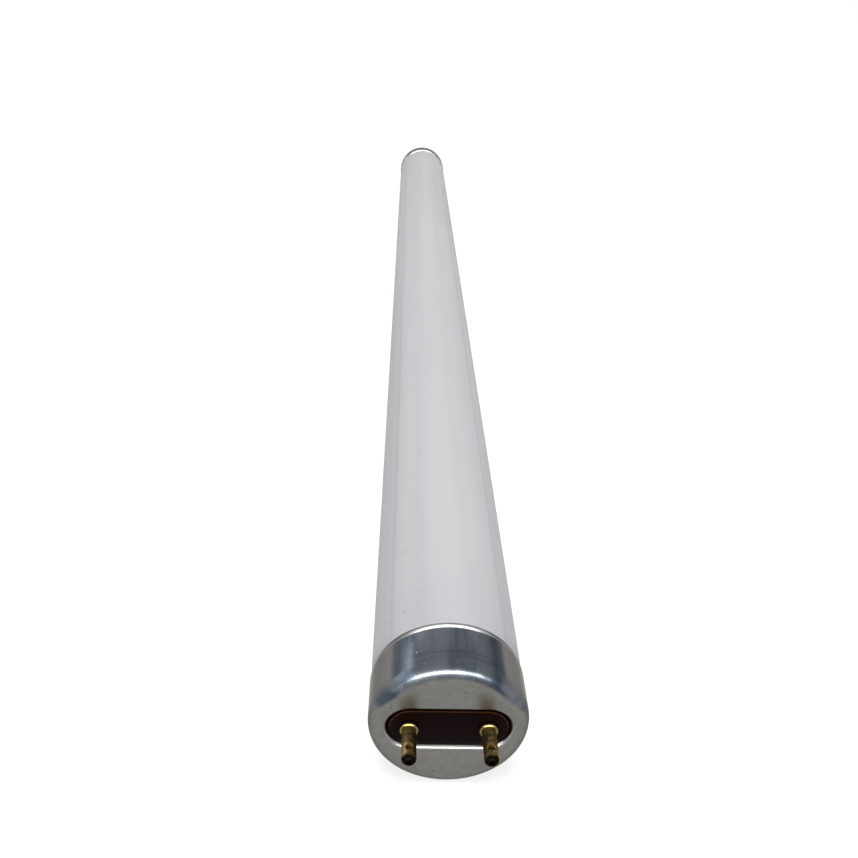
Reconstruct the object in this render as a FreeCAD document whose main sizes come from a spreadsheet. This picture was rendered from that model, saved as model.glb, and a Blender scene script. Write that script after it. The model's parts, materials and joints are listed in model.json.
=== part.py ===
"""Double-ended fluorescent tube, 26 mm in diameter, with a two-pin metal cap at each end.

The tube lies along Y, with its middle at the origin and Z up. The near end is at -Y.
The pieces of one end are modelled in an end frame: Z points out of the lamp, the flat front
of the cap is the plane Z = 0, and the two pins stand along X. A placement then puts each
piece at the near or the far end.
"""
import FreeCAD, Part

import math
import os

import Sketcher

NAMES_AND_SIZES = [
    # the whole lamp
    ("face_to_face", 437.4, "length between the flat fronts of the two caps"),
    ("pin_spacing", 12.7, "between the axes of the two pins"),
    # glass tube
    ("neck_start", 1.9, "from the back of the cap to where the glass begins to narrow"),
    ("neck_finish", 0.5, "from the back of the cap to where the glass has narrowed"),
    ("neck_blend", 1.2, "radius that rounds both bends of the neck"),
    ("glass_setback", 3.8, "from the cap front to the end of the glass"),
    ("rim_land", 1.5, "width of the glass rim between neck and funnel"),
    ("rim_round", 0.6, "rounding of the two edges of the glass rim"),
    ("funnel_floor_radius", 5.0, "radius of the sunk stem at its floor"),
    ("funnel_depth", 16.0, "depth of the sunk stem from the glass rim"),
    ("tip_radius", 1.5, "sealed-off exhaust tip at the middle of the stem"),
    ("tip_length", 6.0, "length of the exhaust tip above the stem floor"),
    # cap shell
    ("front_land", 2.95, "from the window's end to the outside of the skirt"),
    ("cap_overhang", 0.2, "how far the skirt stands out past the glass"),
    ("cap_length", 10.6, "from the cap front to the back edge of the skirt"),
    ("sheet", 0.35, "wall of the drawn cap"),
    ("shoulder_round", 1.9, "outer rounding between cap front and skirt"),
    ("curl_length", 1.1, "length of the skirt that is rolled in at the back"),
    ("curl_drop", 0.3, "how far the rolled edge comes in"),
    ("curl_round", 0.6, "rounding where the skirt turns into the rolled edge"),
    ("window_side", 3.7, "from a pin's axis to the window's end"),
    ("window_height", 8.0, "height of the window in the cap front"),
    ("collar_depth", 1.6, "depth of the turned-in collar round the window"),
    ("collar_round", 0.75, "outer rounding between cap front and collar"),
    # insulating plate
    ("boss_gap", 0.45, "gap between the plate's boss and the collar"),
    ("boss_sunk", 0.25, "how far the boss lies behind the cap front"),
    ("boss_round", 0.3, "rounding of the boss's front edge"),
    ("base_margin", 0.6, "how far the plate's base stands out past the collar"),
    ("base_thickness", 1.2, "thickness of the plate's base behind the collar"),
    # pins
    ("pin_radius", 1.175, "outside of a pin"),
    ("pin_length", 6.5, "from the cap front to the end of a pin"),
    ("pin_bore", 0.8, "radius of the hollow inside a pin"),
    ("nose_round", 0.75, "rounding of the pin's nose"),
    ("nose_hole", 0.35, "radius of the hole in the nose"),
    ("nose_wall", 0.5, "wall of the nose round its hole"),
    ("nose_taper", 0.4, "length over which the bore narrows to the hole"),
    ("bead_radius", 1.55, "radius of the bead that seats on the plate"),
    ("bead_thickness", 0.75, "thickness of the bead"),
    ("bead_bevel", 0.22, "bevel on the bead's front edge"),
    ("rivet_radius", 1.6, "radius of the pin's tail, spread behind the plate"),
    ("rivet_thickness", 0.4, "thickness of the spread tail"),
    ("dent_place", 4.2, "from the cap front to the middle of the crimp"),
    ("dent_radius", 0.6, "radius of the punch that made the crimp"),
    ("dent_depth", 0.22, "depth of the crimp"),
    # lead wires and cement
    ("wire_radius", 0.25, "radius of a lead wire"),
    ("wire_end_gap", 0.3, "from the end of the wire to the wall of the pin's nose"),
    ("wire_bend", 4.0, "radius of the wire's two bends"),
    ("wire_entry", 2.7, "from the lamp's axis to where the wire enters the glass"),
    ("wire_first_bend", 6.0, "from the cap front to the wire's first bend"),
    ("wire_second_bend", 12.0, "from the cap front to the wire's second bend"),
    ("cement_thickness", 0.4, "gap between skirt and neck that the cement fills"),
    ("cement_front", 4.4, "from the cap front to the front of the cement"),
    ("cement_back", 1.3, "from the back of the cap to the back of the cement"),
]

# sizes that follow from the ones above
DERIVED_SIZES = {
    "window_length": "( pin_spacing + 2 * window_side )",
    "cap_radius": "( window_length / 2 + front_land )",
    "glass_radius": "( cap_radius - cap_overhang )",
    "neck_radius": "( cap_radius - sheet - cement_thickness )",
}

ENDS = ("near", "far")
SIDES = ("left", "right")

# how close an edge has to be to the place where it is looked for
TOUCH = 1e-4

# places of the two ends of a lead wire, in the end frame
WIRE_TOP = "pin_length - nose_wall - nose_taper - wire_end_gap"
STEM_FLOOR = "0 - ( glass_setback + funnel_depth )"

document = FreeCAD.newDocument("fluorescent_tube")
sheet = document.addObject("Spreadsheet::Sheet", "sizes")


def fill_sheet():
    """One row for each driving size: its name, its number and what it measures."""
    for row, (name, number, meaning) in enumerate(NAMES_AND_SIZES, start=1):
        sheet.set(f"A{row}", name)
        sheet.set(f"B{row}", str(number))
        sheet.set(f"C{row}", meaning)
        sheet.setAlias(f"B{row}", name)
    document.recompute()


def size(name):
    """The number in the sheet, for choosing edges and arc directions."""
    return float(sheet.get(name))


def split_words(expression):
    """The words of an expression, with each derived size put in terms of the sheet's."""
    words = expression.replace("(", "( ").replace(")", " )").split()
    if not any(word in DERIVED_SIZES for word in words):
        return words
    return split_words(" ".join(DERIVED_SIZES.get(word, word) for word in words))


def bound(expression):
    """The expression as the document reads it, with the sheet's name before each size."""
    return " ".join(
        f"sizes.{word}" if word[0].isalpha() else word for word in split_words(expression)
    )


def number(expression):
    """The expression's value, for the first drawing of a sketch and for finding edges."""
    words = [repr(size(w)) if w[0].isalpha() else w for w in split_words(expression)]
    return float(FreeCAD.Units.Quantity(" ".join(words)).Value)


def new_body(label):
    body = document.addObject("PartDesign::Body", label)
    body.Label = label
    return body


def plane_of(body, role):
    return next(f for f in body.Origin.OriginFeatures if f.Role == role)


def sketch_on(body, name, role, height=None):
    """A sketch on one of the body's own planes, raised by an expression on the sheet."""
    sketch = body.newObject("Sketcher::SketchObject", name)
    sketch.AttachmentSupport = [(plane_of(body, role), "")]
    sketch.MapMode = "FlatFace"
    if height is not None:
        sketch.setExpression("AttachmentOffset.Base.z", bound(height))
    return sketch


def fix_point(sketch, edge, end, across, up):
    """Holds one end of a sketch line at a place given by two expressions."""
    origin, horizontal, vertical = (-1, 1), -1, -2
    for kind, axis, expression in (("DistanceX", vertical, across), ("DistanceY", horizontal, up)):
        if expression == "0":
            sketch.addConstraint(Sketcher.Constraint("PointOnObject", edge, end, axis))
            continue
        index = sketch.addConstraint(
            Sketcher.Constraint(kind, *origin, edge, end, number(expression))
        )
        sketch.setExpression(f"Constraints[{index}]", bound(expression))


def closed_profile(sketch, corners):
    """A closed outline of straight lines through corners given as pairs of expressions."""
    points = [FreeCAD.Vector(number(x), number(y), 0) for x, y in corners]
    following = points[1:] + points[:1]
    for start, finish in zip(points, following):
        sketch.addGeometry(Part.LineSegment(start, finish))
    count = len(points)
    for index in range(count):
        sketch.addConstraint(
            Sketcher.Constraint("Coincident", index, 2, (index + 1) % count, 1)
        )
    for index, (x, y) in enumerate(corners):
        fix_point(sketch, index, 1, x, y)


def slot_outline(sketch, length, height):
    """A slot with round ends, centred on the sketch's origin, from two expressions."""
    half_run = number(f"( {length} - ( {height} ) ) / 2")
    radius = number(f"( {height} ) / 2")
    normal = FreeCAD.Vector(0, 0, 1)
    left, right = FreeCAD.Vector(-half_run, 0, 0), FreeCAD.Vector(half_run, 0, 0)
    quarter = math.pi / 2
    sketch.addGeometry(Part.LineSegment(left + FreeCAD.Vector(0, radius, 0),
                                        right + FreeCAD.Vector(0, radius, 0)))
    sketch.addGeometry(Part.LineSegment(right - FreeCAD.Vector(0, radius, 0),
                                        left - FreeCAD.Vector(0, radius, 0)))
    sketch.addGeometry(Part.ArcOfCircle(Part.Circle(left, normal, radius), quarter, 3 * quarter))
    sketch.addGeometry(Part.ArcOfCircle(Part.Circle(right, normal, radius), -quarter, quarter))
    top, bottom, left_arc, right_arc = range(4)
    for constraint in (
        Sketcher.Constraint("Horizontal", top),
        Sketcher.Constraint("Tangent", top, 1, left_arc, 1),
        Sketcher.Constraint("Tangent", left_arc, 2, bottom, 2),
        Sketcher.Constraint("Tangent", bottom, 1, right_arc, 1),
        Sketcher.Constraint("Tangent", right_arc, 2, top, 2),
        Sketcher.Constraint("Symmetric", left_arc, 3, right_arc, 3, -1, 1),
        Sketcher.Constraint("PointOnObject", left_arc, 3, -1),
    ):
        sketch.addConstraint(constraint)
    index = sketch.addConstraint(Sketcher.Constraint("Radius", left_arc, radius))
    sketch.setExpression(f"Constraints[{index}]", bound(f"( {height} ) / 2"))
    index = sketch.addConstraint(
        Sketcher.Constraint("DistanceX", left_arc, 3, right_arc, 3, 2 * half_run)
    )
    sketch.setExpression(f"Constraints[{index}]", bound(f"{length} - ( {height} )"))


def round_holes(sketch, across, radius):
    """Two equal circles on the sketch's X axis, at plus and minus a distance."""
    for sign in (-1, 1):
        centre = FreeCAD.Vector(sign * number(across), 0, 0)
        edge = sketch.addGeometry(
            Part.Circle(centre, FreeCAD.Vector(0, 0, 1), number(radius))
        )
        sketch.addConstraint(Sketcher.Constraint("PointOnObject", edge, 3, -1))
        index = sketch.addConstraint(
            Sketcher.Constraint("DistanceX", -1, 1, edge, 3, sign * number(across))
        )
        sketch.setExpression(f"Constraints[{index}]", bound(f"{sign} * {across}"))
        index = sketch.addConstraint(Sketcher.Constraint("Radius", edge, number(radius)))
        sketch.setExpression(f"Constraints[{index}]", bound(radius))


def revolve(body, name, corners):
    """Turns a profile of (radius, height) corners about the body's Z axis."""
    sketch = sketch_on(body, f"{name}_profile", "XZ_Plane")
    closed_profile(sketch, corners)
    feature = body.newObject("PartDesign::Revolution", name)
    feature.Profile = (sketch, [""])
    feature.ReferenceAxis = (sketch, ["V_Axis"])
    feature.Angle = 360.0
    sketch.Visibility = False
    document.recompute()
    return feature


def pad(body, name, sketch, length, inward=True):
    feature = body.newObject("PartDesign::Pad", name)
    feature.Profile = (sketch, [""])
    feature.setExpression("Length", bound(length))
    feature.Reversed = inward
    document.recompute()
    return feature


def pocket_through(body, name, sketch):
    """Cuts a sketch through the whole body, both ways from its plane."""
    before = body.Shape.Volume
    feature = body.newObject("PartDesign::Pocket", name)
    feature.Profile = (sketch, [""])
    feature.Type = "ThroughAll"
    feature.SideType = "Symmetric"
    document.recompute()
    if not body.Shape.Volume < before:
        raise RuntimeError(f"{name} cuts nothing from {body.Label}")
    return feature


def rounded(body, name, base, radius, belongs, kind="PartDesign::Fillet"):
    """Rounds, or bevels, each edge of the base for which belongs(edge) is true."""
    chosen = [f"Edge{i}" for i, edge in enumerate(base.Shape.Edges, start=1) if belongs(edge)]
    if not chosen:
        raise RuntimeError(f"{name} finds no edge on {body.Label}")
    feature = body.newObject(kind, name)
    feature.Base = (base, chosen)
    feature.setExpression("Size" if kind.endswith("Chamfer") else "Radius", bound(radius))
    document.recompute()
    return feature


def on_circle(radius, height):
    """A test for a circular edge of that radius about the Z axis, at that height."""
    wanted_radius, wanted_height = number(radius), number(height)

    def belongs(edge):
        curve = edge.Curve
        return (
            isinstance(curve, Part.Circle)
            and abs(curve.Radius - wanted_radius) < TOUCH
            and abs(curve.Center.z - wanted_height) < TOUCH
            and math.hypot(curve.Center.x, curve.Center.y) < TOUCH
        )

    return belongs


def in_slot_wall(length, height, level):
    """A test for an edge that lies at that level on the outline of a slot."""
    half_length, half_height = number(length) / 2, number(height) / 2
    half_run, wanted_level = half_length - half_height, number(level)

    def belongs(edge):
        box = edge.BoundBox
        if abs(box.ZMin - wanted_level) > TOUCH or abs(box.ZMax - wanted_level) > TOUCH:
            return False
        middle = edge.valueAt((edge.FirstParameter + edge.LastParameter) / 2)
        past_run = max(abs(middle.x) - half_run, 0.0)
        return abs(math.hypot(past_run, middle.y) - half_height) < TOUCH

    return belongs


def end_placement(end):
    """Puts a piece from the end frame at the near end, or turned about Z at the far end."""
    outward = -size("face_to_face") / 2
    near = FreeCAD.Placement(
        FreeCAD.Vector(0, outward, 0), FreeCAD.Rotation(FreeCAD.Vector(1, 0, 0), 90)
    )
    if end == "near":
        return near
    half_turn = FreeCAD.Placement(
        FreeCAD.Vector(0, 0, 0), FreeCAD.Rotation(FreeCAD.Vector(0, 0, 1), 180)
    )
    return half_turn.multiply(near)


def make_glass_tube():
    """The sealed glass tube, one solid: necked ends, sunk stems and sealed exhaust tips."""
    body = new_body("glass_tube")
    rim = "face_to_face / 2 - glass_setback"
    back_of_cap = "face_to_face / 2 - cap_length"
    floor = f"{rim} - funnel_depth"
    rim_inner = "neck_radius - rim_land"
    tip_top = f"{floor} + tip_length"
    half = revolve(body, "half_tube", [
        ("0", "0"),
        ("glass_radius", "0"),
        ("glass_radius", f"{back_of_cap} - neck_start"),
        ("neck_radius", f"{back_of_cap} - neck_finish"),
        ("neck_radius", rim),
        (rim_inner, rim),
        ("funnel_floor_radius", floor),
        ("tip_radius", floor),
        ("tip_radius", tip_top),
        ("0", tip_top),
    ])
    neck = rounded(body, "neck_bends", half, "neck_blend", either(
        on_circle("glass_radius", f"{back_of_cap} - neck_start"),
        on_circle("neck_radius", f"{back_of_cap} - neck_finish"),
    ))
    rims = rounded(body, "rim_edges", neck, "rim_round", either(
        on_circle("neck_radius", rim),
        on_circle(rim_inner, rim),
        on_circle("tip_radius", tip_top),
    ))
    both = body.newObject("PartDesign::Mirrored", "both_halves")
    both.Originals = [half, neck, rims]
    both.MirrorPlane = (plane_of(body, "XY_Plane"), [""])
    body.Tip = both
    document.recompute()
    body.Placement = FreeCAD.Placement(
        FreeCAD.Vector(0, 0, 0), FreeCAD.Rotation(FreeCAD.Vector(1, 0, 0), 90)
    )
    return body


def either(*tests):
    return lambda edge: any(test(edge) for test in tests)


def make_end_cap(end):
    """The drawn shell: skirt with rolled-in back edge, rounded shoulder and slotted front."""
    body = new_body(f"{end}_end_cap")
    inside = "cap_radius - sheet"
    back = "0 - cap_length"
    bend = "curl_length - cap_length"
    cup = revolve(body, "cup", [
        ("0", "0"),
        ("cap_radius", "0"),
        ("cap_radius", bend),
        ("cap_radius - curl_drop", back),
        (f"{inside} - curl_drop", back),
        (inside, bend),
        (inside, "0 - sheet"),
        ("0", "0 - sheet"),
    ])
    shoulder = rounded(body, "shoulder", cup, "shoulder_round", on_circle("cap_radius", "0"))
    inner_shoulder = rounded(body, "inner_shoulder", shoulder, "shoulder_round - sheet",
                             on_circle(inside, "0 - sheet"))
    curl = rounded(body, "rolled_edge", inner_shoulder, "curl_round",
                   on_circle("cap_radius", bend))

    collar_length, collar_height = "window_length + 2 * sheet", "window_height + 2 * sheet"
    collar_sketch = sketch_on(body, "collar_outline", "XY_Plane", "0 - sheet / 2")
    slot_outline(collar_sketch, collar_length, collar_height)
    collar = pad(body, "collar", collar_sketch, "collar_depth - sheet / 2")
    window_sketch = sketch_on(body, "window_outline", "XY_Plane")
    slot_outline(window_sketch, "window_length", "window_height")
    window = pocket_through(body, "window", window_sketch)
    inner_bend = rounded(body, "collar_inner_bend", window, "collar_round - sheet",
                         in_slot_wall(collar_length, collar_height, "0 - sheet"))
    rounded(body, "collar_outer_bend", inner_bend, "collar_round",
            in_slot_wall("window_length", "window_height", "0"))
    body.Placement = end_placement(end)
    return body


def make_insulator(end):
    """The pressed insulating plate: a boss that shows in the window, on a wider base."""
    body = new_body(f"{end}_insulator")
    boss_length = "window_length - 2 * boss_gap"
    boss_height = "window_height - 2 * boss_gap"
    base_sketch = sketch_on(body, "base_outline", "XY_Plane", "0 - collar_depth")
    slot_outline(base_sketch, "window_length + 2 * sheet + 2 * base_margin",
                 "window_height + 2 * sheet + 2 * base_margin")
    pad(body, "base", base_sketch, "base_thickness")
    boss_sketch = sketch_on(body, "boss_outline", "XY_Plane", "0 - collar_depth")
    slot_outline(boss_sketch, boss_length, boss_height)
    pad(body, "boss", boss_sketch, "collar_depth - boss_sunk", inward=False)
    hole_sketch = sketch_on(body, "pin_holes_outline", "XY_Plane", "0 - collar_depth")
    round_holes(hole_sketch, "pin_spacing / 2", "pin_radius")
    holes = pocket_through(body, "pin_holes", hole_sketch)
    rounded(body, "boss_edge", holes, "boss_round",
            in_slot_wall(boss_length, boss_height, "0 - boss_sunk"))
    body.Placement = end_placement(end)
    return body


def side_offset(side):
    """Moves a piece from the end frame's Z axis to the left or right pin's axis."""
    sign = -1 if side == "left" else 1
    return FreeCAD.Placement(
        FreeCAD.Vector(sign * size("pin_spacing") / 2, 0, 0), FreeCAD.Rotation()
    )


def punch(body, name, radius, along, height):
    """A round-nosed dent in a body; its place is along Z and up Y by expressions."""
    before = body.Shape.Volume
    ball = body.newObject("PartDesign::SubtractiveSphere", name)
    ball.AttachmentSupport = [(plane_of(body, "XY_Plane"), "")]
    ball.MapMode = "FlatFace"
    ball.setExpression("Radius", bound(radius))
    ball.setExpression("AttachmentOffset.Base.y", bound(height))
    ball.setExpression("AttachmentOffset.Base.z", bound(along))
    document.recompute()
    if not body.Shape.Volume < before:
        raise RuntimeError(f"{name} cuts nothing from {body.Label}")


def make_pin(end, side):
    """A hollow pin: bead on the plate, riveted tail, closed-in nose and a crimp on top."""
    body = new_body(f"{end}_{side}_pin")
    plate_front = "0 - boss_sunk"
    plate_back = "0 - ( collar_depth + base_thickness )"
    tail = f"{plate_back} - rivet_thickness"
    bead_top = f"{plate_front} + bead_thickness"
    nose_inner = "pin_length - nose_wall"
    shaft = revolve(body, "shaft", [
        ("pin_bore", tail),
        ("rivet_radius", tail),
        ("rivet_radius", plate_back),
        ("pin_radius", plate_back),
        ("pin_radius", plate_front),
        ("bead_radius", plate_front),
        ("bead_radius", bead_top),
        ("pin_radius", bead_top),
        ("pin_radius", "pin_length"),
        ("nose_hole", "pin_length"),
        ("nose_hole", nose_inner),
        ("pin_bore", f"{nose_inner} - nose_taper"),
    ])
    bead = rounded(body, "bead_edge", shaft, "bead_bevel", on_circle("bead_radius", bead_top))
    rounded(body, "nose", bead, "nose_round", on_circle("pin_radius", "pin_length"))
    punch(body, "crimp", "dent_radius", "dent_place", "pin_radius - dent_depth + dent_radius")
    body.Placement = end_placement(end).multiply(side_offset(side))
    return body


def make_lead_wire(end, side):
    """The wire from the glass stem into the hollow pin: three straight runs and two bends."""
    body = new_body(f"{end}_{side}_lead_wire")
    sign = -1 if side == "left" else 1
    start = FreeCAD.Vector(sign * size("pin_spacing") / 2, number(WIRE_TOP), 0)
    first = FreeCAD.Vector(start.x, -size("wire_first_bend"), 0)
    second = FreeCAD.Vector(sign * size("wire_entry"), -size("wire_second_bend"), 0)
    finish = FreeCAD.Vector(second.x, number(STEM_FLOOR), 0)
    route = sketch_on(body, "route", "XZ_Plane")
    for a, b in ((start, first), (first, second), (second, finish)):
        route.addGeometry(Part.LineSegment(a, b))
    route.addConstraint(Sketcher.Constraint("Coincident", 0, 2, 1, 1))
    route.addConstraint(Sketcher.Constraint("Coincident", 1, 2, 2, 1))
    pin_axis, entry = f"{sign} * pin_spacing / 2", f"{sign} * wire_entry"
    fix_point(route, 0, 1, pin_axis, WIRE_TOP)
    fix_point(route, 1, 1, pin_axis, "0 - wire_first_bend")
    fix_point(route, 2, 1, entry, "0 - wire_second_bend")
    fix_point(route, 2, 2, entry, STEM_FLOOR)
    bend = size("wire_bend")
    route.fillet(0, 1, (start + first) / 2, (first + second) / 2, bend, True, True)
    route.fillet(1, 2, (first + second) / 2, (second + finish) / 2, bend, True, True)
    for index, constraint in enumerate(route.Constraints):
        if constraint.Type == "Radius":
            route.setExpression(f"Constraints[{index}]", bound("wire_bend"))
    document.recompute()
    section = sketch_on(body, "section", "XY_Plane", WIRE_TOP)
    centre = FreeCAD.Vector(start.x, 0, 0)
    circle = section.addGeometry(
        Part.Circle(centre, FreeCAD.Vector(0, 0, 1), size("wire_radius"))
    )
    section.addConstraint(Sketcher.Constraint("PointOnObject", circle, 3, -1))
    index = section.addConstraint(Sketcher.Constraint("DistanceX", -1, 1, circle, 3, start.x))
    section.setExpression(f"Constraints[{index}]", bound(pin_axis))
    index = section.addConstraint(Sketcher.Constraint("Radius", circle, size("wire_radius")))
    section.setExpression(f"Constraints[{index}]", bound("wire_radius"))
    wire = body.newObject("PartDesign::AdditivePipe", "wire")
    wire.Profile = (section, [""])
    wire.Spine = (route, [f"Edge{i}" for i in range(1, len(route.Shape.Edges) + 1)])
    document.recompute()
    body.Placement = end_placement(end)
    return body


def make_cement_ring(end):
    """The ring of basing cement between the skirt and the neck of the glass."""
    body = new_body(f"{end}_cement_ring")
    revolve(body, "ring", [
        ("neck_radius", "0 - cement_front"),
        ("cap_radius - sheet", "0 - cement_front"),
        ("cap_radius - sheet", "cement_back - cap_length"),
        ("neck_radius", "cement_back - cap_length"),
    ])
    body.Placement = end_placement(end)
    return body


def check(parts):
    """Stops if any object of the document failed or any piece isn't one valid solid."""
    for item in document.Objects:
        if "Invalid" in item.State or "Error" in item.State:
            raise RuntimeError(f"{item.Label} failed: {item.State}")
    for piece in parts:
        shape = piece.Shape
        if shape.isNull() or not shape.isValid() or len(shape.Solids) != 1:
            raise RuntimeError(f"{piece.Label} isn't one valid solid")


fill_sheet()
pieces = [make_glass_tube()]
for which in ENDS:
    pieces.append(make_end_cap(which))
    pieces.append(make_insulator(which))
    pieces.append(make_cement_ring(which))
    for hand in SIDES:
        pieces.append(make_pin(which, hand))
        pieces.append(make_lead_wire(which, hand))
document.recompute()
check(pieces)

os.makedirs("parts", exist_ok=True)
for piece in pieces:
    piece.Shape.exportStep(f"parts/{piece.Label}.step")
    print(piece.Label, round(piece.Shape.Volume, 3), "mm3")
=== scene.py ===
"""Double-ended fluorescent tube with a two-pin metal cap at each end, dressed for a close view.

The tube lies along Y, with its middle at the origin and Z up. The near end is at -Y. Each
piece of one end is modelled at the near end, and copied to the far end by a half turn about Z.
Sizes are in millimetres until a piece is made an object.
"""
import json
import math

import bmesh
import bpy
from mathutils import Matrix, Vector

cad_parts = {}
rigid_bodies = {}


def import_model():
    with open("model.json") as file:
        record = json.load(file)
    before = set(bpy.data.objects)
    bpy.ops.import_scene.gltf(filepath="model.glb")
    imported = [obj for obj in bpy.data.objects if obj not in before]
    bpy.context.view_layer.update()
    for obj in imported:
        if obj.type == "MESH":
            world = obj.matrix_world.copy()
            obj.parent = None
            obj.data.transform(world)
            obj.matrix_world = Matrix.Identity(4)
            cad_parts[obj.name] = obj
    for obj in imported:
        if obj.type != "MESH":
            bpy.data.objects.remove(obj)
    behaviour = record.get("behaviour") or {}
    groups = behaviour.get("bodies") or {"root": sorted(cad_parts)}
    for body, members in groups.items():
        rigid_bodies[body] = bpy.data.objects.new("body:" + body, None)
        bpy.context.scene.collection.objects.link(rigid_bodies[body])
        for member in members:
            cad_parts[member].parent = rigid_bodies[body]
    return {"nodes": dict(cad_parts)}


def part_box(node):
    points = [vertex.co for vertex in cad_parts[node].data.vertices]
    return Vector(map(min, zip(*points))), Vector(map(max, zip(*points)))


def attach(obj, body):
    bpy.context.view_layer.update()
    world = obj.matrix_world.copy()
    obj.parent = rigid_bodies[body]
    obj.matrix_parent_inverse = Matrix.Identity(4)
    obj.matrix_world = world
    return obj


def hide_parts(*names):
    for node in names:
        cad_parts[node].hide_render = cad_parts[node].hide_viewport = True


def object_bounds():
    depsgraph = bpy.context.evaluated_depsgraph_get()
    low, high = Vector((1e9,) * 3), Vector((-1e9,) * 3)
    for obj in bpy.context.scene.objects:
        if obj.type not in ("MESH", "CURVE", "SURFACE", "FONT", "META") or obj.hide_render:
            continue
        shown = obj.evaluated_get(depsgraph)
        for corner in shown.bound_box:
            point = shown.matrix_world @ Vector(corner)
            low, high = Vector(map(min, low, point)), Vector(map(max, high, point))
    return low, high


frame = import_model()

bl_info = {
    "name": "Fluorescent tube",
    "version": (1, 0, 0),
    "blender": (4, 5, 0),
    "location": "3D View > Sidebar > Lamp",
    "description": "Builds a two-pin fluorescent tube round its packed solids",
    "category": "Object",
}

MM = 0.001
HALF_TURN = Matrix.Rotation(math.pi, 4, "Z")
LOWEST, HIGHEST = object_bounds()
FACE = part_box("near_end_cap")[0].y / MM     # where the near cap's front stands, along Y
SAME_PLACE = 1e-3                           # places nearer than this count as one
SHARP_EDGE = math.radians(40.0)             # an edge that turns further isn't shaded smooth
PIN_SIDES = 64
HOLE_SIDES = 48


# sizes and colours that a user would change

def millimetres(name, description, default):
    """A size that a user can change."""
    return bpy.props.FloatProperty(
        name=name, description=f"{description}, in millimetres", default=default, min=0.0,
        precision=3)


class LampSizes(bpy.types.PropertyGroup):
    """Sizes of the lamp's visible pieces, in millimetres."""

    glass_radius: millimetres("Glass radius", "Outside of the glass along the lamp", 12.8)
    neck_radius: millimetres("Neck radius", "Outside of the glass inside the cap", 12.25)
    stem_mouth: millimetres("Stem mouth", "Radius where the sunk stem leaves the neck", 10.75)
    stem_radius: millimetres("Stem radius", "Radius at the foot of the sunk stem", 5.0)
    stem_depth: millimetres("Stem depth", "From the neck's rim to the foot of the stem", 16.0)
    tip_radius: millimetres("Tip radius", "Outside of the sealed exhaust tip", 1.5)
    tip_depth: millimetres("Tip depth", "From the neck's rim to the end of the tip", 10.0)
    cap_radius: millimetres("Cap radius", "Outside of the cap's skirt", 13.0)
    cap_length: millimetres("Cap length", "From the cap's front to its back edge", 10.6)
    curl_length: millimetres("Curl length", "Length of the skirt's rolled-in back edge", 1.1)
    curl_drop: millimetres("Curl drop", "How far the back edge is rolled in", 0.3)
    sheet: millimetres("Sheet", "Wall of the drawn cap", 0.35)
    shoulder_round: millimetres("Shoulder rounding", "Between the cap's front and skirt", 1.9)
    window_length: millimetres("Window length", "Length of the window in the front", 20.1)
    window_height: millimetres("Window height", "Height of the window in the front", 8.0)
    collar_depth: millimetres("Collar depth", "Depth of the window's turned-in collar", 1.6)
    collar_round: millimetres("Collar rounding", "Between the front and the collar", 0.75)
    board_gap: millimetres("Board gap", "Between the plate's raised part and the window", 0.45)
    board_flange: millimetres("Board flange", "How far the plate's foot passes the window", 0.95)
    board_round: millimetres("Board rounding", "Round the plate's raised part", 0.3)
    board_sunk: millimetres("Board sunk", "From the cap's front to the plate's front", 0.25)
    board_base: millimetres("Board base", "Thickness of the plate's foot", 1.2)
    pin_spacing: millimetres("Pin spacing", "Between the axes of the two pins", 12.7)
    pin_radius: millimetres("Pin radius", "Outside of a pin", 1.175)
    pin_length: millimetres("Pin length", "From the cap's front to a pin's end", 6.5)
    pin_bore: millimetres("Pin bore", "Inside radius of a pin", 0.8)
    bead_radius: millimetres("Bead radius", "Outside of the bead in front of the plate", 1.55)
    bead_length: millimetres("Bead length", "Thickness of the bead", 0.75)
    tail_radius: millimetres("Tail radius", "Outside of the spread tail behind the plate", 1.6)
    tail_length: millimetres("Tail length", "Thickness of the spread tail", 0.4)
    nose_round: millimetres("Nose rounding", "Round the closed-in end of a pin", 0.75)
    nose_hole: millimetres("Nose hole", "Radius of the hole that is left in the end", 0.35)
    crimp_place: millimetres("Crimp place", "From the cap's front to the crimp", 4.3)
    crimp_reach: millimetres("Crimp reach", "How far the crimp's dent spreads", 0.62)
    crimp_depth: millimetres("Crimp depth", "How deep the crimp is pressed", 0.5)
    round_steps: bpy.props.IntProperty(
        name="Round steps", description="Sides of the turned pieces", default=144, min=24)


def colour(name, description, default):
    """A colour that a user can change."""
    return bpy.props.FloatVectorProperty(
        name=name, description=description, default=default, subtype="COLOR", size=3,
        min=0.0, max=1.0)


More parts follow.
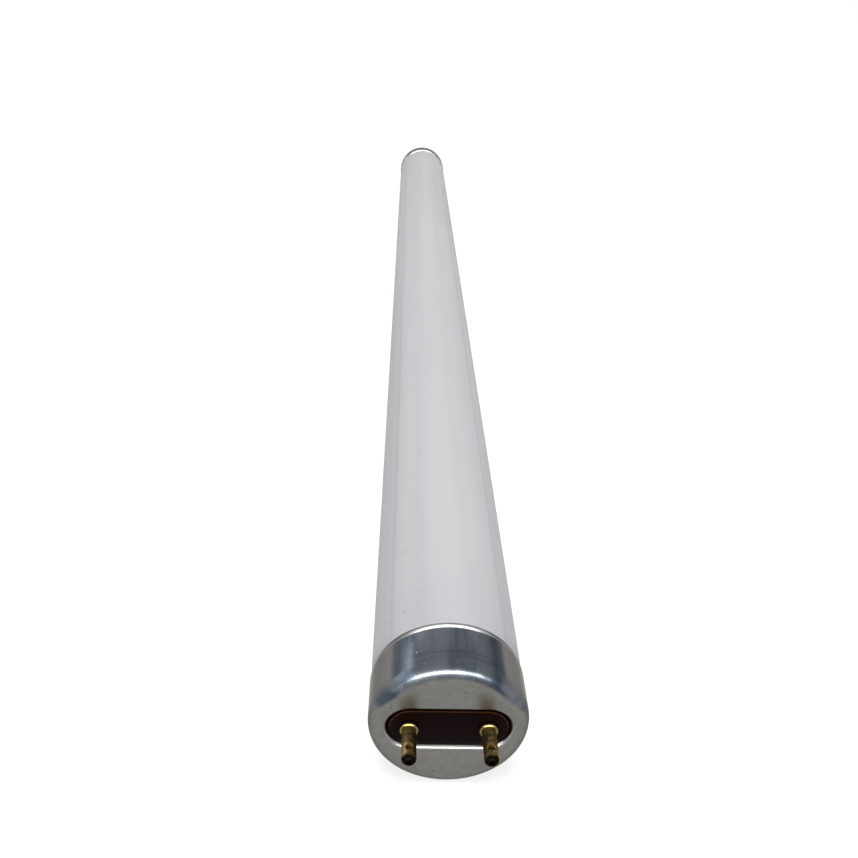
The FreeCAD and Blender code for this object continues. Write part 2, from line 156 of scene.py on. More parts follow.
class LampColours(bpy.types.PropertyGroup):
    """Colours of the lamp's materials and of the stage."""

    glass: colour("Glass", "Phosphor-coated glass", (0.66, 0.665, 0.675))
    glass_shade: colour("Glass shade", "Thinner coat, slightly blue", (0.53, 0.545, 0.575))
    # painted reflection: faint streaks down both sides of the glass
    glass_streak_reflection: colour("Glass streak", "Painted reflection in faint streaks along the glass", (0.44, 0.44, 0.54))
    glass_speck: colour("Glass speck", "Small marks on the glass", (0.30, 0.32, 0.36))
    skirt: colour("Skirt", "Drawn metal on the cap's skirt", (0.042, 0.052, 0.068))
    skirt_light: colour("Skirt streak", "Lighter streaks of the skirt", (0.115, 0.125, 0.14))
    # darker lines, and painted dark reflections in bands
    skirt_lines_and_dark_reflection: colour("Skirt shade", "Darker lines of the skirt, and painted dark reflections", (0.028, 0.036, 0.050))
    # painted warm reflection on the skirt's sides
    skirt_side_reflection: colour("Skirt sides", "Painted warm reflection on the skirt's sides", (0.195, 0.19, 0.184))
    # bright scratches, and painted highlights on the back edge and the window's lip
    skirt_scratches_and_highlights: colour("Scratches and highlights", "Bright scratches, and painted highlights on the edges", (0.80, 0.80, 0.79))
    front: colour("Cap front", "Satin metal on the cap's front", (0.165, 0.161, 0.150))
    front_dull: colour("Dull front", "Duller parts of the cap's front", (0.10, 0.096, 0.086))
    front_speck: colour("Front speck", "Small pits in the cap's front", (0.03, 0.028, 0.025))
    board: colour("Board", "Dark insulating board", (0.0105, 0.0034, 0.0038))
    board_grain: colour("Board grain", "Duller grain of the board", (0.010, 0.0045, 0.0045))
    # painted highlight on the rounded edge of the board's raised part
    board_edge_highlight: colour("Board edge", "Painted highlight on the board's rounded edge", (0.12, 0.045, 0.019))
    # paints the highlight on top of the bead
    brass: colour("Brass", "Brass painted bright on the bead's top", (0.36, 0.28, 0.10))
    # painted light on the shaft next to the bead
    brass_painted_light_near_bead: colour("Painted light on brass", "Brass next to the bead", (0.40, 0.31, 0.13))
    brass_mid: colour("Worn brass", "Brass between bright and tarnished", (0.25, 0.19, 0.08))
    brass_dull: colour("Dull brass", "Tarnished brass", (0.11, 0.083, 0.034))
    # painted highlight beside the crimp
    crimp: colour("Crimp", "Painted highlight beside the crimp", (0.80, 0.60, 0.28))
    # painted shade inside the crimp
    crimp_painted_shade: colour("Dark crimp", "Inside of the crimp", (0.040, 0.014, 0.003))
    soot: colour("Soot", "Blackened pin end", (0.0030, 0.0024, 0.0018))
    cement: colour("Cement", "Baked cement", (0.62, 0.57, 0.47))
    cement_dark: colour("Dark cement", "Darker grains of the cement", (0.42, 0.37, 0.30))
    wire: colour("Wire", "Plated lead wire", (0.58, 0.57, 0.55))
    wire_dark: colour("Dark wire", "Drawing lines of the wire", (0.42, 0.41, 0.40))
    floor: colour("Floor", "Plain pale floor", (0.40, 0.40, 0.40))


def sizes():
    """The sizes as the panel has them."""
    return bpy.context.scene.lamp_sizes


def colours():
    """The colours as the panel has them."""
    return bpy.context.scene.lamp_colours


# shader maths as Python expressions

class Socket:
    """An output of a shader node, with the operators that add Math nodes."""

    def __init__(self, tree, source):
        self.tree = tree
        self.source = source

    def _math(self, operation, *values):
        return self.tree.node("ShaderNodeMath", {"operation": operation},
                              dict(enumerate(values)))

    def __add__(self, other):
        return self._math("ADD", self, other)

    def __radd__(self, other):
        return self._math("ADD", other, self)

    def __sub__(self, other):
        return self._math("SUBTRACT", self, other)

    def __rsub__(self, other):
        return self._math("SUBTRACT", other, self)

    def __mul__(self, other):
        return self._math("MULTIPLY", self, other)

    def __rmul__(self, other):
        return self._math("MULTIPLY", other, self)

    def __abs__(self):
        return self._math("ABSOLUTE", self)

    def power(self, exponent):
        return self._math("POWER", self, exponent)

    def larger(self, other):
        return self._math("MAXIMUM", self, other)

    def step(self, low, high, start=0.0, finish=1.0):
        """A smooth step of this value, from start at low to finish at high."""
        settings = {"interpolation_type": "SMOOTHSTEP"}
        values = {"Value": self, "From Min": low, "From Max": high, "To Min": start,
                  "To Max": finish}
        return self.tree.node("ShaderNodeMapRange", settings, values)

    def band(self, centre, half_width):
        """1 at the centre, falling smoothly to 0 at half_width on both sides."""
        return abs(self - centre).step(0.0, half_width, 1.0, 0.0)


def from_axis(first, second):
    """How far a place is from the line where two of its coordinates are 0."""
    return (first * first + second * second).power(0.5)


class NodeTree:
    """Makes nodes from a type, its settings and its inputs."""

    def __init__(self, tree):
        self.nodes = tree.nodes
        self.links = tree.links

    def node(self, kind, settings=None, inputs=None, output=0):
        made = self.nodes.new(kind)
        for key, value in (settings or {}).items():
            setattr(made, key, value)
        for key, value in (inputs or {}).items():
            if isinstance(value, Socket):
                self.links.new(value.source, made.inputs[key])
            else:
                made.inputs[key].default_value = value
        return Socket(self, made.outputs[output])

    def seen_directly(self):
        """1 for the camera, mirrors and clear glass, 0 where light only falls on things."""
        path = self.node("ShaderNodeLightPath").source.node
        camera, mirror, clear = (
            Socket(self, path.outputs[name])
            for name in ("Is Camera Ray", "Is Glossy Ray", "Is Transmission Ray"))
        return camera.larger(mirror).larger(clear)


class Finish(NodeTree):
    """A material with a Principled shader, whose constants are set on its own sockets."""

    def __init__(self, name, **constants):
        self.material = bpy.data.materials.new(name)
        self.material.use_nodes = True
        super().__init__(self.material.node_tree)
        self.shader = self.nodes["Principled BSDF"]
        for socket, value in constants.items():
            self.shader.inputs[socket.replace("_", " ")].default_value = value

    def place(self):
        """Where a point is on the object, as a vector in metres."""
        return self.node("ShaderNodeTexCoord", output="Object")

    def axes(self):
        """Across, along and up in millimetres."""
        split = self.node("ShaderNodeSeparateXYZ", inputs={0: self.place()}).source.node
        return [Socket(self, output) * (1 / MM) for output in split.outputs]

    def stretched(self, scale):
        """The place in millimetres, stretched by a scale along each axis."""
        return self.node("ShaderNodeMapping", inputs={
            "Vector": self.place(), "Scale": [s / MM for s in scale]})

    def noise(self, scale, detail=3.0, rough=0.5):
        """Soft noise around 0.5, with its scale in waves per millimetre."""
        return self.node("ShaderNodeTexNoise", inputs={
            "Vector": self.stretched(scale), "Scale": 1.0, "Detail": detail,
            "Roughness": rough})

    def specks(self, scale, size):
        """1 inside small scattered spots, 0 between them."""
        away = self.node("ShaderNodeTexVoronoi", output="Distance", inputs={
            "Vector": self.stretched((scale, scale, scale)), "Scale": 1.0})
        return away.step(size * 0.5, size, 1.0, 0.0)

    def mix(self, amount, first, second):
        """A colour between two colours, by the Mix node's colour sockets."""
        first, second = (value if isinstance(value, Socket) else [*value, 1.0]
                         for value in (first, second))
        return self.node("ShaderNodeMix", {"data_type": "RGBA"},
                         {"Factor": amount, 6: first, 7: second}, output=2)

    def bump(self, height, distance, strength):
        """A normal from a height of 0 to 1 that stands for a distance in millimetres."""
        return self.node("ShaderNodeBump", inputs={
            "Height": height, "Distance": distance * MM, "Strength": strength})

    def feed(self, **inputs):
        """Links what changes over the surface, and returns the material."""
        for name, value in inputs.items():
            self.links.new(value.source, self.shader.inputs[name.replace("_", " ")])
        return self.material


# modelling helpers

def turned(bm, profile, steps):
    """Turns a profile of (radius, along) points about the Y axis."""
    points = [bm.verts.new((radius, along, 0.0)) for radius, along in profile]
    edges = [bm.edges.new(pair) for pair in zip(points, points[1:])]
    bmesh.ops.spin(bm, geom=points + edges, cent=(0, 0, 0), axis=(0, 1, 0), dvec=(0, 0, 0),
                   angle=2 * math.pi, steps=steps, use_merge=True, use_duplicate=False)
    bmesh.ops.remove_doubles(bm, verts=bm.verts, dist=1e-4)


def ring_edges(bm, radius, along):
    """The edges of a circle about the Y axis."""
    def there(vert):
        return (abs(vert.co.y - along) < SAME_PLACE
                and abs(math.hypot(vert.co.x, vert.co.z) - radius) < SAME_PLACE)
    return [edge for edge in bm.edges if there(edge.verts[0]) and there(edge.verts[1])]


def rounded(bm, edges, radius, segments):
    """Rounds edges."""
    bmesh.ops.bevel(bm, geom=edges, offset=radius, offset_type="OFFSET", segments=segments,
                    profile=0.5, affect="EDGES", clamp_overlap=True, material=-1)


def edges_within(verts):
    """The edges that have both ends among some points."""
    wanted = set(verts)
    return list({e for v in verts for e in v.link_edges if wanted.issuperset(e.verts)})


def stand_up(bm, verts, along):
    """Turns flat points from the XY plane to face along -Y, at one Y value."""
    turn = Matrix.Translation((0, along, 0)) @ Matrix.Rotation(math.pi / 2, 4, "X")
    bmesh.ops.transform(bm, matrix=turn, verts=verts)


def flat_circle(bm, radius, segments):
    """The points of a circle in the XY plane, with none on the Y axis if they are even."""
    verts = bmesh.ops.create_circle(bm, cap_ends=False, radius=radius,
                                    segments=segments)["verts"]
    turn = Matrix.Rotation(math.pi / segments, 4, "Z")
    bmesh.ops.transform(bm, matrix=turn, verts=verts)
    return verts


def circle_loop(bm, radius, along, segments):
    """A circle about the Y axis, as a loop of edges."""
    verts = flat_circle(bm, radius, segments)
    stand_up(bm, verts, along)
    return edges_within(verts)


def slot_loop(bm, length, height, along, segments):
    """A slot's outline: an even circle whose left and right halves are drawn apart."""
    verts = flat_circle(bm, height / 2, segments)
    for side in (-1, 1):
        half = [v for v in verts if v.co.x * side > 0]
        bmesh.ops.translate(bm, vec=(side * (length - height) / 2, 0, 0), verts=half)
    stand_up(bm, verts, along)
    return edges_within(verts)


def drawn_out(bm, edges, along, grow=0.0):
    """Extrudes a loop to a Y value, with its radius changed, and returns the new loop."""
    made = bmesh.ops.extrude_edge_only(bm, edges=edges)["geom"]
    verts = [g for g in made if isinstance(g, bmesh.types.BMVert)]
    bmesh.ops.translate(bm, vec=(0, along - verts[0].co.y, 0), verts=verts)
    if grow:
        for vert in verts:
            radius = math.hypot(vert.co.x, vert.co.z)
            scale = (radius + grow) / radius
            vert.co.x *= scale
            vert.co.z *= scale
    return edges_within(verts)


def filled(bm, edges, facing):
    """Fills the space between loops, seen from a direction."""
    bmesh.ops.triangle_fill(bm, use_beauty=True, use_dissolve=False, edges=edges,
                            normal=facing)


def facing_out(bm):
    """Turns all faces outwards."""
    bmesh.ops.recalc_face_normals(bm, faces=bm.faces)


def new_piece(name, bm, finish, replaced, far=False, wall=0.0):
    """Makes an object of a bmesh, at the near end or turned to the far end."""
    mesh = bpy.data.meshes.new(name)
    bmesh.ops.scale(bm, vec=(MM, MM, MM), verts=bm.verts)
    if far:
        bmesh.ops.transform(bm, matrix=HALF_TURN, verts=bm.verts)
    bm.to_mesh(mesh)
    mesh.materials.append(finish)
    piece = bpy.data.objects.new(name, mesh)
    bpy.context.scene.collection.objects.link(piece)
    if wall:
        inner = piece.modifiers.new("wall", "SOLIDIFY")
        inner.thickness = wall * MM
        inner.offset = -1.0
        inner.use_even_offset = True
    mesh.polygons.foreach_set("use_smooth", [True] * len(mesh.polygons))
    mesh.set_sharp_from_angle(angle=SHARP_EDGE)
    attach(piece, "root")
    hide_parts(*replaced)


def even(steps):
    """The even number at or below a number."""
    return steps // 2 * 2


def at_both_ends(build):
    """Runs a builder for the near end and for the far end."""
    for end in ("near", "far"):
        build(end, end == "far")


# finishes: every place and width in them is in millimetres

def glass_finish():
    """White phosphor coat under satin glass, a little thinner in long soft bands."""
    tone = colours()
    finish = Finish("phosphor_coated_glass", Roughness=0.5, IOR=1.5, Specular_IOR_Level=0.25,
                    Coat_Weight=0.12, Coat_Roughness=0.22)
    across, along = finish.axes()[:2]

    # the coat thins in bands along the tube and toward both ends
    cloud = finish.noise((0.05, 0.012, 0.05))
    thin = finish.noise((0.16, 0.004, 0.16), 2.0)
    amount = thin.step(0.35, 0.75) * 0.5 + cloud.step(0.4, 0.8) * 0.3
    amount = amount + abs(along).step(185.0, 212.0) * 0.3
    base = finish.mix(amount, tone.glass, tone.glass_shade)

    # small marks in patches, smudges, and a painted reflection as a faint streak down each side
    patches = finish.noise((0.07, 0.07, 0.07), 2.0).step(0.52, 0.66)
    base = finish.mix(finish.specks(0.45, 0.2) * patches * 0.3, base, tone.glass_speck)
    smudge = finish.noise((0.25, 0.12, 0.25), 4.0, 0.6).step(0.62, 0.8)
    base = finish.mix(smudge * 0.35, base, tone.glass_shade)
    # painted reflection: a faint bluish streak down each side of the glass
    base = finish.mix(abs(across).band(9.6, 0.6) * 0.3, base, tone.glass_streak_reflection)
    return finish.feed(Base_Color=base)


def aluminium_finish():
    """Drawn aluminium: dark streaked skirt, satin front, painted highlights and reflections."""
    tone = colours()
    size = sizes()
    finish = Finish("drawn_aluminium", Metallic=1.0, Specular_Tint=(0.50, 0.49, 0.47, 1.0))
    across, along, up = finish.axes()
    radius = from_axis(across, up)
    from_face = abs(FACE) - abs(along)
    line = finish.noise((0.5, 7.0, 0.5), 4.0, 0.6)
    mottle = finish.noise((0.9, 0.9, 0.9), 5.0, 0.65)

    # the skirt: streaks along it, lines and scratches round it
    streak = finish.noise((0.30, 0.02, 0.30), 2.0)
    skirt = finish.mix(streak.step(0.34, 0.68), tone.skirt, tone.skirt_light)
    skirt = finish.mix(line.step(0.45, 0.75) * 0.35, skirt, tone.skirt_light)
    scratch = finish.noise((3.2, 1.1, 3.2), 3.0, 0.7).step(0.66, 0.74)
    skirt = finish.mix(scratch * 0.4, skirt, tone.skirt_scratches_and_highlights)
    turned_lines = finish.noise((0.12, 8.0, 0.12), 2.0).step(0.48, 0.6)
    skirt = finish.mix(turned_lines * from_face.band(3.4, 2.4) * 0.5, skirt, tone.skirt_lines_and_dark_reflection)

    # two darker bands and warm sides as painted reflections, a painted highlight on the back
    # edge
    # painted dark reflections in two bands at fixed places round the skirt
    bands = (across + 8.5).band(0.0, 0.9) * 0.3 + (across - 7.0).band(0.0, 1.7) * 0.75
    skirt = finish.mix(bands, skirt, tone.skirt_lines_and_dark_reflection)
    aside = abs(across + 0.4)
    # painted warm reflection on the skirt's sides
    sides = aside.step(8.5, 9.3) * from_face.step(0.2, 2.6)
    skirt = finish.mix(sides * 0.85, skirt, tone.skirt_side_reflection)
    # painted highlight on the back edge, brightest on top, broken into patches
    edge = from_face.step(size.cap_length - 1.6, size.cap_length - 1.2)
    rubbed = aside.step(9.2, 2.5) * 0.85 + 0.1
    worn = finish.noise((0.22, 0.22, 0.22), 3.0, 0.6).step(0.25, 0.6) * 0.15 + 0.885
    skirt = finish.mix(edge * rubbed * worn, skirt, tone.skirt_scratches_and_highlights)

    # the front: satin, mottled and pitted, with a painted highlight where it turns into the
    # window
    fine = finish.noise((2.2, 2.2, 2.2), 5.0, 0.7)
    dull = mottle.step(0.35, 0.8) * 0.45 + fine.step(0.5, 0.75) * 0.35
    front = finish.mix(dull, tone.front, tone.front_dull)
    patches = finish.noise((0.35, 0.35, 0.35), 2.0).step(0.45, 0.6)
    front = finish.mix(finish.specks(1.0, 0.17) * patches * 0.75, front, tone.front_speck)
    # painted highlight on the rounded lip of the window
    lip = from_face.step(0.06, 0.35) * radius.step(12.0, 11.0) * 0.2
    front = finish.mix(lip, front, tone.skirt_scratches_and_highlights)

    # painted reflection: the satin covers the shoulder at the sides and below, but not on top
    reach = radius + up.step(1.5, 7.5) * 1.9
    satin = from_face.step(1.9, 0.6) * reach.step(size.cap_radius + 0.25, size.cap_radius - 0.6)
    base = finish.mix(satin, skirt, front)
    shoulder = from_face.step(2.2, 1.2)
    rough = satin * 0.02 + shoulder * 0.06 + line * 0.12 + mottle * 0.08 + 0.13
    height = line * 0.5 + mottle * 0.5
    return finish.feed(Base_Color=base, Roughness=rough,
                       Normal=finish.bump(height, 0.02, 0.45))


def board_finish():
    """Pressed insulating board, near black, with a painted brown highlight on its rounded edge.
    """
    tone = colours()
    finish = Finish("dark_phenolic", Roughness=0.45, IOR=1.5, Specular_IOR_Level=0.02)
    depth = abs(FACE) - abs(finish.axes()[1])
    grain = finish.noise((3.0, 3.0, 3.0), 4.0, 0.6)
    base = finish.mix(grain * 0.5, tone.board, tone.board_grain)
    # painted highlight: a brown band round the rounded edge of the raised part
    base = finish.mix(depth.step(0.28, 0.34), base, tone.board_edge_highlight)
    base = finish.mix(depth.step(0.42, 0.55), base, tone.board)
    return finish.feed(Base_Color=base, Normal=finish.bump(grain, 0.02, 0.3))


def brass_finish():
    """Tarnished brass, a blackened end, and painted highlights and shade on the bead and crimp.
    """
    tone = colours()
    size = sizes()
    finish = Finish("aged_brass", Metallic=1.0, Specular_Tint=(0.6, 0.55, 0.45, 1.0))
    across, along, up = finish.axes()
    out = abs(along) - abs(FACE)
    mottle = finish.noise((1.1, 0.9, 1.1), 5.0, 0.65)
    line = finish.noise((1.7, 1.9, 1.7), 5.0, 0.7)

    # the shaft: tarnished in patches, painted light by the bead; the bead's top a painted
    # highlight
    shaft = finish.mix(line.step(0.42, 0.62), tone.brass_dull, tone.brass_mid)
    # painted light on the shaft next to the bead
    shaft = finish.mix(out.step(2.3, 1.1) * 0.85, shaft, tone.brass_painted_light_near_bead)
    shaft = finish.mix(mottle.step(0.52, 0.66) * 0.6, shaft, tone.soot)
    # painted highlight: the bead is bright on top and dull below
    bead = finish.mix(up.step(1.0, 1.5), tone.brass_dull, tone.brass)
    tarnish = out.step(0.3, 0.9)
    base = finish.mix(tarnish, bead, shaft)

    # a blackened end and a dark ring
    soot = (out + mottle + line * 0.6).step(6.0, 7.0)
    base = finish.mix(soot, base, tone.soot)
    base = finish.mix(out.band(1.9, 0.16) * 0.75, base, tone.soot)

    # the crimp: painted shade inside, and a painted highlight on the side toward the pin's end
    aside = abs(across) - size.pin_spacing / 2
    ahead = out - size.crimp_place
    top = up.step(0.1, 0.3)
    # painted shade inside the crimp's dent
    inside = from_axis(aside, ahead * 0.85).step(0.6, 0.35)
    base = finish.mix(inside * top, base, tone.crimp_painted_shade)
    # painted highlight on the side of the crimp toward the pin's end
    bright = ahead.band(0.35, 0.35) * aside.band(0.0, 0.5)
    base = finish.mix(bright * top, base, tone.crimp)
    rough = tarnish * 0.12 + mottle * 0.12 + soot * 0.15 + 0.18
    height = line * 0.5 + mottle * 0.5
    return finish.feed(Base_Color=base, Roughness=rough,
                       Normal=finish.bump(height, 0.03, 0.5))


def cement_finish():
    """Baked, grainy cement between a cap and the glass."""
    tone = colours()
    finish = Finish("basing_cement", Roughness=0.85)
    grain = finish.noise((2.5, 2.5, 2.5), 5.0, 0.7)
    base = finish.mix(grain, tone.cement, tone.cement_dark)
    return finish.feed(Base_Color=base, Normal=finish.bump(grain, 0.12, 0.7))


def wire_finish():
    """Plated wire, with the lines of its drawing along it."""
    tone = colours()
    finish = Finish("nickel_wire", Metallic=1.0)
    drawn = finish.noise((8.0, 0.6, 8.0))
    base = finish.mix(drawn, tone.wire, tone.wire_dark)
    return finish.feed(Base_Color=base, Roughness=drawn * 0.2 + 0.22)


def floor_finish():
    """A pale floor that shows white to the camera, and keeps the lamp's shadow."""
    finish = Finish("pale_floor", Roughness=0.9, Specular_IOR_Level=0.0,
                    Base_Color=[*colours().floor, 1.0])
    across, along = finish.axes()[:2]
    away = from_axis(across, along * 0.5)
    white = finish.mix(away.step(60.0, 420.0), (0.80, 0.80, 0.80), (1.0, 1.0, 1.0))
    return finish.feed(Emission_Color=white, Emission_Strength=finish.seen_directly())


# operators, one for each piece or group of like pieces

class LAMP_OT_glass_tube(bpy.types.Operator):
    """Builds the sealed glass tube with its necked ends and sunk stems"""

    bl_idname = "lamp.glass_tube"
    bl_label = "Glass tube"

    def execute(self, context):
        size = sizes()
        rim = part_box("glass_tube")[0].y / MM
        tip, foot = rim + size.tip_depth, rim + size.stem_depth
        back = FACE + size.cap_length
        neck_end, tube_start = back + 0.5, back + 1.9     # the glass widens between these
        near = [
            (size.tip_radius, tip), (size.tip_radius, foot), (size.stem_radius, foot),
            (size.stem_mouth, rim), (size.neck_radius, rim), (size.neck_radius, neck_end),
            (size.glass_radius, tube_start),
        ]
        runs = [(size.glass_radius, along) for along in (-150, -75, 0, 75, 150)]
        far = [(radius, -along) for radius, along in reversed(near)]
        bm = bmesh.new()
        turned(bm, [(0.0, tip), *near, *runs, *far, (0.0, -tip)], size.round_steps)
        for sign in (1, -1):
            bends = (ring_edges(bm, size.glass_radius, sign * tube_start)
                     + ring_edges(bm, size.neck_radius, sign * neck_end))
            rounded(bm, bends, radius=0.7, segments=5)
            rims = [edge for radius, along in (
                        (size.neck_radius, rim), (size.stem_mouth, rim), (size.tip_radius, tip))
                    for edge in ring_edges(bm, radius, sign * along)]
            rounded(bm, rims, radius=0.5, segments=4)
        facing_out(bm)
        new_piece("glass", bm, glass_finish(), ["glass_tube"])
        return {"FINISHED"}


class LAMP_OT_end_caps(bpy.types.Operator):
    """Builds the two drawn caps with their turned-in windows and rolled back edges"""

    bl_idname = "lamp.end_caps"
    bl_label = "End caps"

    def execute(self, context):
        finish = aluminium_finish()
        size = sizes()

        def build(end, far):
            bm = bmesh.new()
            steps = even(size.round_steps)
            outer = circle_loop(bm, size.cap_radius, FACE, steps)
            window = slot_loop(bm, size.window_length, size.window_height, FACE, steps)
            bmesh.ops.bridge_loops(bm, edges=outer + window)
            bend = drawn_out(bm, outer, FACE + size.cap_length - size.curl_length)
            drawn_out(bm, bend, FACE + size.cap_length, grow=-size.curl_drop)
            drawn_out(bm, window, FACE + size.collar_depth)
            facing_out(bm)
            front = next(f for f in bm.faces
                         if abs(f.calc_center_median().y - FACE) < SAME_PLACE)
            if front.normal.y > 0:
                bmesh.ops.reverse_faces(bm, faces=bm.faces)
            rounded(bm, outer, size.shoulder_round, segments=10)
            rounded(bm, window, size.collar_round, segments=8)
            rounded(bm, bend, radius=0.4, segments=5)
            new_piece(f"{end}_cap", bm, finish, [f"{end}_end_cap"],
                      far, wall=size.sheet)

        at_both_ends(build)
        return {"FINISHED"}


class LAMP_OT_insulators(bpy.types.Operator):
    """Builds the dark insulating plate that stands in each cap's window"""

    bl_idname = "lamp.insulators"
    bl_label = "Insulating plates"

    def execute(self, context):
        finish = board_finish()
        size = sizes()

        def outline(bm, margin, along):
            """The window's outline, made wider all round by a margin."""
            return slot_loop(bm, size.window_length + 2 * margin,
                             size.window_height + 2 * margin, along, even(size.round_steps))

        def build(end, far):
            low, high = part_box("near_insulator")
            front, back = low.y / MM, high.y / MM
            foot = FACE + size.collar_depth
            bm = bmesh.new()
            raised = outline(bm, -size.board_gap, front)
            holes = []
            for side in (-1, 1):
                hole = circle_loop(bm, size.pin_radius, front, HOLE_SIDES)
                verts = list({v for e in hole for v in e.verts})
                bmesh.ops.translate(bm, vec=(side * size.pin_spacing / 2, 0, 0), verts=verts)
                holes += hole
            filled(bm, raised + holes, (0, -1, 0))
            low_raised = drawn_out(bm, raised, foot)
            flange = outline(bm, size.board_flange, foot)
            bmesh.ops.bridge_loops(bm, edges=low_raised + flange)
            rear = drawn_out(bm, flange, back)
            rear_holes = drawn_out(bm, holes, back)
            filled(bm, rear + rear_holes, (0, 1, 0))
            facing_out(bm)
            rounded(bm, raised, size.board_round, segments=5)
            new_piece(f"{end}_board", bm, finish, [f"{end}_insulator"], far)

        at_both_ends(build)
        return {"FINISHED"}


class LAMP_OT_pins(bpy.types.Operator):
    """Builds the four hollow brass pins with their beads, crimps and closed-in noses"""

    bl_idname = "lamp.pins"
    bl_label = "Pins"

    def crimp(self, bm, size):
        """Presses a smooth dent into the top of the pin, wall and bore together."""
        squeezed = 0.9      # below 1, the dent is wider across the pin than along it
        fullness = 0.8      # below 1, the dent has a flatter foot and a steeper side
        for vert in bm.verts:
            across, along, up = vert.co
            away = math.hypot(across * squeezed, along - (FACE - size.crimp_place))
            on_shaft = math.hypot(across, up) < size.pin_radius + 0.01
            if up > 0 and away < size.crimp_reach and on_shaft:
                fall = 0.5 + 0.5 * math.cos(math.pi * away / size.crimp_reach)
                vert.co.z -= size.crimp_depth * fall ** fullness

    def profile(self, size):
        """A pin's outline from its tail to its tip outside, and back along its bore."""
        front = FACE + size.board_sunk
        back = FACE + size.collar_depth + size.board_base
        tail = back + size.tail_length
        tip = FACE - size.pin_length
        bead = front - size.bead_length
        lip, hollow = tip + 0.5, tip + 0.9      # the closed-in end widens between these
        rows = [FACE - size.crimp_place - 0.1 * row for row in range(-8, 9)]
        dent = [(size.pin_radius, along) for along in rows]
        bore = [(size.pin_bore, along) for along in reversed(rows)]
        return [
            (size.pin_bore, tail), (size.tail_radius, tail), (size.tail_radius, back),
            (size.pin_radius, back), (size.pin_radius, front), (size.bead_radius, front),
            (size.bead_radius, bead), (size.pin_radius, bead), *dent, (size.pin_radius, tip),
            (size.nose_hole, tip), (size.nose_hole, lip), (size.pin_bore, hollow),
            *bore, (size.pin_bore, tail),
        ]

    def execute(self, context):
        finish = brass_finish()
        size = sizes()
        front = FACE + size.board_sunk
        tip = FACE - size.pin_length

        def build(end, far):
            for side, sign in (("left", -1), ("right", 1)):
                bm = bmesh.new()
                turned(bm, self.profile(size), PIN_SIDES)
                for radius, along, rounding, segments in (
                        (size.bead_radius, front - size.bead_length, 0.3, 6),
                        (size.bead_radius, front, 0.15, 3),
                        (size.pin_radius, tip, size.nose_round, 8),
                        (size.nose_hole, tip, 0.06, 2)):
                    rounded(bm, ring_edges(bm, radius, along), rounding, segments)
                self.crimp(bm, size)
                facing_out(bm)
                bmesh.ops.translate(bm, vec=(sign * size.pin_spacing / 2, 0, 0),
                                    verts=bm.verts)
                new_piece(f"{end}_pin_{side}", bm, finish,
                          [f"{end}_{side}_pin"], far)

        at_both_ends(build)
        return {"FINISHED"}


class LAMP_OT_hidden_parts(bpy.types.Operator):
    """Gives the cement rings and lead wires inside the caps their finishes"""

    bl_idname = "lamp.hidden_parts"
    bl_label = "Hidden parts"

    def execute(self, context):
        finishes = {"cement": cement_finish(), "wire": wire_finish()}
        for name, node in frame["nodes"].items():
            for word, finish in finishes.items():
                if word in name:
                    node.data.materials.clear()
                    node.data.materials.append(finish)
        return {"FINISHED"}


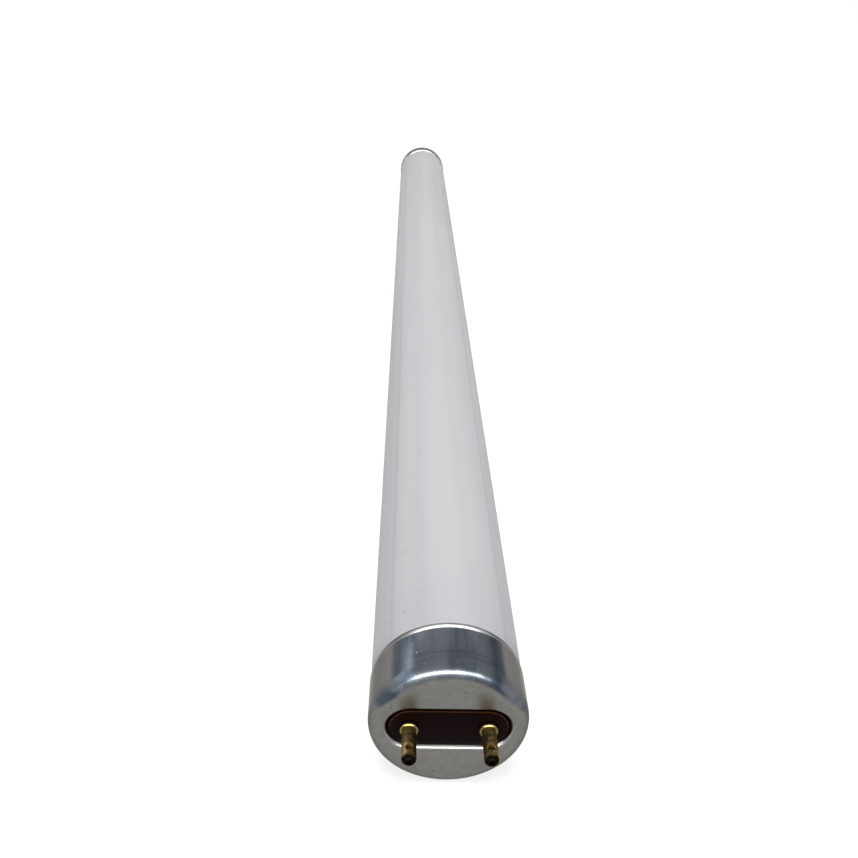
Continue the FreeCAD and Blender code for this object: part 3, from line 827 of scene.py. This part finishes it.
class LAMP_OT_stage(bpy.types.Operator):
    """Sets the floor, the soft lamps, the world and the camera"""

    bl_idname = "lamp.stage"
    bl_label = "Stage"

    def floor(self):
        """A plain floor that the lamp all but touches."""
        reach, gap = 4.0, 0.2 * MM
        bm = bmesh.new()
        bmesh.ops.create_grid(bm, x_segments=1, y_segments=1, size=reach)
        bmesh.ops.translate(bm, vec=(0, 0, LOWEST[2] - gap), verts=bm.verts)
        mesh = bpy.data.meshes.new("floor")
        bm.to_mesh(mesh)
        mesh.materials.append(floor_finish())
        floor = bpy.data.objects.new("floor", mesh)
        bpy.context.scene.collection.objects.link(floor)

    def sky(self):
        """Even light for the object, and white where the camera or a mirror looks past it."""
        fill = 0.22
        world = bpy.data.worlds.new("studio")
        bpy.context.scene.world = world
        world.use_nodes = True
        tree = NodeTree(world.node_tree)
        back = tree.nodes["Background"]
        back.inputs["Color"].default_value = (1, 1, 1, 1)
        strength = tree.seen_directly() * (1.0 - fill) + fill
        tree.links.new(strength.source, back.inputs["Strength"])

    def soft_lamp(self, name, place, target, width, height, watts):
        """An even rectangular lamp that faces its target."""
        light = bpy.data.lights.new(name, "AREA")
        light.shape = "RECTANGLE"
        light.size, light.size_y = width, height
        light.energy = watts
        lamp = bpy.data.objects.new(name, light)
        lamp.location = place
        aim = Vector(target) - Vector(place)
        lamp.rotation_euler = aim.to_track_quat("-Z", "Y").to_euler()
        bpy.context.scene.collection.objects.link(lamp)
        return lamp

    def lamps(self):
        """One lamp over the object, and three that only gleam in its metal."""
        overhead = self.soft_lamp("overhead", (-0.03, -0.33, 0.95), (0, -0.08, 0), 0.45, 0.6,
                                  7.7)
        overhead.visible_glossy = False
        metal = bpy.data.collections.new("metal")
        for piece in bpy.context.scene.objects:
            if "cap" in piece.name or "pin" in piece.name:
                metal.objects.link(piece)
        near_cap = (0, -0.21, 0)
        for name, place, width, height, watts in (
                ("front", (-0.02, -1.15, 0.28), 1.1, 0.30, 26.0),
                ("back", (0.0, 0.60, 0.37), 1.0, 0.15, 1.7),
                ("left", (-0.62, -0.22, 0.36), 1.55, 0.2, 4.2)):
            gleam = self.soft_lamp(name, place, near_cap, width, height, watts)
            gleam.visible_diffuse = False
            gleam.visible_camera = False
            gleam.light_linking.receiver_collection = metal

    def camera(self):
        """Looks down the lamp from in front of the near cap, as the photograph does."""
        data = bpy.data.cameras.new("camera")
        data.sensor_width = 36.0
        data.lens = 34.93
        data.clip_start = 0.01
        camera = bpy.data.objects.new("camera", data)
        right = Vector((0.99916, -0.01733, 0.03702)).normalized()
        ahead = Vector((0.03294, 0.87806, -0.47742)).normalized()
        up = right.cross(ahead).normalized()
        right = ahead.cross(up)
        turn = Matrix((right, up, -ahead)).transposed().to_4x4()
        place = Vector((-8.685, FACE - 93.31, 104.99)) * MM
        camera.matrix_world = Matrix.Translation(place) @ turn
        bpy.context.scene.collection.objects.link(camera)
        bpy.context.scene.camera = camera

    def execute(self, context):
        self.floor()
        self.sky()
        self.lamps()
        self.camera()
        context.scene.view_settings.view_transform = "Standard"
        return {"FINISHED"}


class LAMP_PT_panel(bpy.types.Panel):
    """Lists the lamp's operators, sizes and colours"""

    bl_label = "Fluorescent tube"
    bl_idname = "LAMP_PT_panel"
    bl_space_type = "VIEW_3D"
    bl_region_type = "UI"
    bl_category = "Lamp"

    def draw(self, context):
        for group in (context.scene.lamp_sizes, context.scene.lamp_colours):
            for name in group.bl_rna.properties.keys():
                if name not in ("rna_type", "name"):
                    self.layout.prop(group, name)
        for step in STEPS:
            self.layout.operator(step.bl_idname)


STEPS = (
    LAMP_OT_glass_tube, LAMP_OT_end_caps, LAMP_OT_insulators, LAMP_OT_pins,
    LAMP_OT_hidden_parts, LAMP_OT_stage,
)
CLASSES = (LampSizes, LampColours, *STEPS, LAMP_PT_panel)


def register():
    for made in CLASSES:
        bpy.utils.register_class(made)
    bpy.types.Scene.lamp_sizes = bpy.props.PointerProperty(type=LampSizes)
    bpy.types.Scene.lamp_colours = bpy.props.PointerProperty(type=LampColours)


def unregister():
    del bpy.types.Scene.lamp_colours
    del bpy.types.Scene.lamp_sizes
    for made in reversed(CLASSES):
        bpy.utils.unregister_class(made)


def main():
    register()
    bpy.ops.lamp.glass_tube()
    bpy.ops.lamp.end_caps()
    bpy.ops.lamp.insulators()
    bpy.ops.lamp.pins()
    bpy.ops.lamp.hidden_parts()
    bpy.ops.lamp.stage()


if __name__ == "__main__":
    main()
